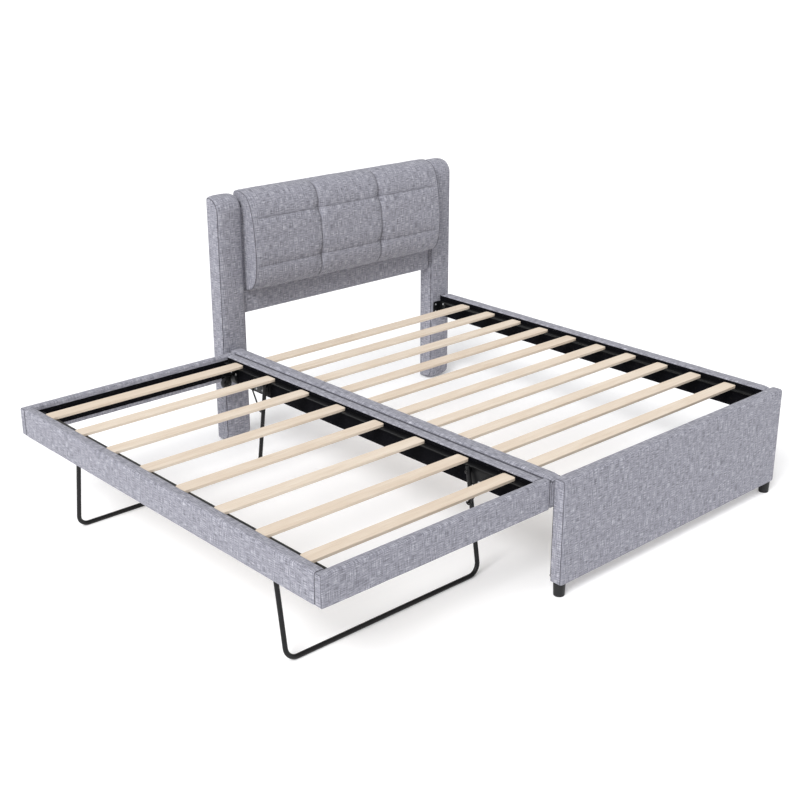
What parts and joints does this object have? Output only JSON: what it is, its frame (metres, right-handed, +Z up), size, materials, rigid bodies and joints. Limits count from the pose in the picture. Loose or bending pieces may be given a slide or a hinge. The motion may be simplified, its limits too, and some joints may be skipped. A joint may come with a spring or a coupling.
{
  "type": "trundle bed",
  "caption": "Upholstered platform bed with padded headboard, low footboard and slats, and a slatted pop-up trundle on folding U-shaped legs and casters, pulled out and raised beside it.",
  "frame": {"origin": "bottom centre of the whole object with the trundle pulled out and raised", "axes": "+X across the bed to the side away from the trundle, +Y to the headboard, +Z up"},
  "size_m": [2.474, 2.114, 1.169],
  "materials": {
    "linen_fabric": "woven grey linen-look polyester over foam",
    "slat_wood": "bare planed pine",
    "black_steel": "black powder coat",
    "foot_plastic": "moulded black",
    "wheel_rubber": "matt dark grey tread"
  },
  "bodies": {
    "main_bed": {"headboard_panel": "linen_fabric", "headboard_cushion": "linen_fabric", "wing_left": "linen_fabric", "wing_right": "linen_fabric", "side_rail_near": "linen_fabric", "side_rail_far": "linen_fabric", "footboard": "linen_fabric", "foot_left": "foot_plastic", "foot_right": "foot_plastic", "main_slat_01": "slat_wood", "main_slat_02": "slat_wood", "main_slat_03": "slat_wood", "main_slat_04": "slat_wood", "main_slat_05": "slat_wood", "main_slat_06": "slat_wood", "main_slat_07": "slat_wood", "main_slat_08": "slat_wood", "main_slat_09": "slat_wood", "main_slat_10": "slat_wood", "main_slat_angle_near": "black_steel", "main_slat_angle_far": "black_steel", "corner_bracket_foot_near": "black_steel", "corner_bracket_foot_far": "black_steel", "corner_bracket_head_near": "black_steel", "corner_bracket_head_far": "black_steel"},
    "trundle_frame": {"trundle_rail_foot": "linen_fabric", "trundle_rail_head": "linen_fabric", "trundle_rail_outer": "linen_fabric", "trundle_rail_inner": "linen_fabric", "trundle_slat_01": "slat_wood", "trundle_slat_02": "slat_wood", "trundle_slat_03": "slat_wood", "trundle_slat_04": "slat_wood", "trundle_slat_05": "slat_wood", "trundle_slat_06": "slat_wood", "trundle_slat_07": "slat_wood", "trundle_slat_08": "slat_wood", "trundle_slat_angle_outer": "black_steel", "trundle_slat_angle_inner": "black_steel", "leg_bracket_foot_outer": "black_steel", "leg_bracket_foot_inner": "black_steel", "leg_bracket_head_outer": "black_steel", "leg_bracket_head_inner": "black_steel", "caster_fork_foot_outer": "black_steel", "caster_fork_foot_inner": "black_steel", "caster_fork_head_outer": "black_steel", "caster_fork_head_inner": "black_steel"},
    "leg_foot": {"u_leg_foot": "black_steel"},
    "leg_head": {"u_leg_head": "black_steel"},
    "brace_foot_outer": {"lock_brace_foot_outer": "black_steel"},
    "brace_foot_inner": {"lock_brace_foot_inner": "black_steel"},
    "brace_head_outer": {"lock_brace_head_outer": "black_steel"},
    "brace_head_inner": {"lock_brace_head_inner": "black_steel"},
    "wheel_foot_outer": {"caster_wheel_foot_outer": "wheel_rubber"},
    "wheel_foot_inner": {"caster_wheel_foot_inner": "wheel_rubber"},
    "wheel_head_outer": {"caster_wheel_head_outer": "wheel_rubber"},
    "wheel_head_inner": {"caster_wheel_head_inner": "wheel_rubber"}
  },
  "joints": [
    {"name": "trundle_lift", "type": "slide", "parent": "main_bed", "child": "trundle_frame", "axis": [0, 0, 1], "range_m": [-0.33, 0]},
    {"name": "leg_fold_foot", "type": "hinge", "parent": "trundle_frame", "child": "leg_foot", "pos_m": [-0.714, -0.661, 0.405], "axis": [1, 0, 0], "range_deg": [0, 95]},
    {"name": "leg_fold_head", "type": "hinge", "parent": "trundle_frame", "child": "leg_head", "pos_m": [-0.714, 0.585, 0.405], "axis": [-1, 0, 0], "range_deg": [0, 95]},
    {"name": "brace_fold_foot_outer", "type": "hinge", "parent": "trundle_frame", "child": "brace_foot_outer", "pos_m": [-1.1535, -0.751, 0.398], "axis": [-1, 0, 0], "range_deg": [0, 104]},
    {"name": "brace_fold_foot_inner", "type": "hinge", "parent": "trundle_frame", "child": "brace_foot_inner", "pos_m": [-0.2745, -0.751, 0.398], "axis": [-1, 0, 0], "range_deg": [0, 104]},
    {"name": "brace_fold_head_outer", "type": "hinge", "parent": "trundle_frame", "child": "brace_head_outer", "pos_m": [-1.1535, 0.675, 0.398], "axis": [1, 0, 0], "range_deg": [0, 104]},
    {"name": "brace_fold_head_inner", "type": "hinge", "parent": "trundle_frame", "child": "brace_head_inner", "pos_m": [-0.2745, 0.675, 0.398], "axis": [1, 0, 0], "range_deg": [0, 104]},
    {"name": "wheel_spin_foot_outer", "type": "hinge", "parent": "trundle_frame", "child": "wheel_foot_outer", "pos_m": [-1.142, -0.917, 0.355], "axis": [0, 1, 0], "continuous": true},
    {"name": "wheel_spin_foot_inner", "type": "hinge", "parent": "trundle_frame", "child": "wheel_foot_inner", "pos_m": [-0.286, -0.917, 0.355], "axis": [0, 1, 0], "continuous": true},
    {"name": "wheel_spin_head_outer", "type": "hinge", "parent": "trundle_frame", "child": "wheel_head_outer", "pos_m": [-1.142, 0.841, 0.355], "axis": [0, 1, 0], "continuous": true},
    {"name": "wheel_spin_head_inner", "type": "hinge", "parent": "trundle_frame", "child": "wheel_head_inner", "pos_m": [-0.286, 0.841, 0.355], "axis": [0, 1, 0], "continuous": true}
  ],
  "couplings": [
    {"joint": "leg_fold_foot", "follows": "trundle_lift", "rad_per_m": -5.02},
    {"joint": "leg_fold_head", "follows": "trundle_lift", "rad_per_m": -5.02},
    {"joint": "brace_fold_foot_outer", "follows": "trundle_lift", "rad_per_m": -5.45},
    {"joint": "brace_fold_foot_inner", "follows": "trundle_lift", "rad_per_m": -5.45},
    {"joint": "brace_fold_head_outer", "follows": "trundle_lift", "rad_per_m": -5.45},
    {"joint": "brace_fold_head_inner", "follows": "trundle_lift", "rad_per_m": -5.45}
  ]
}
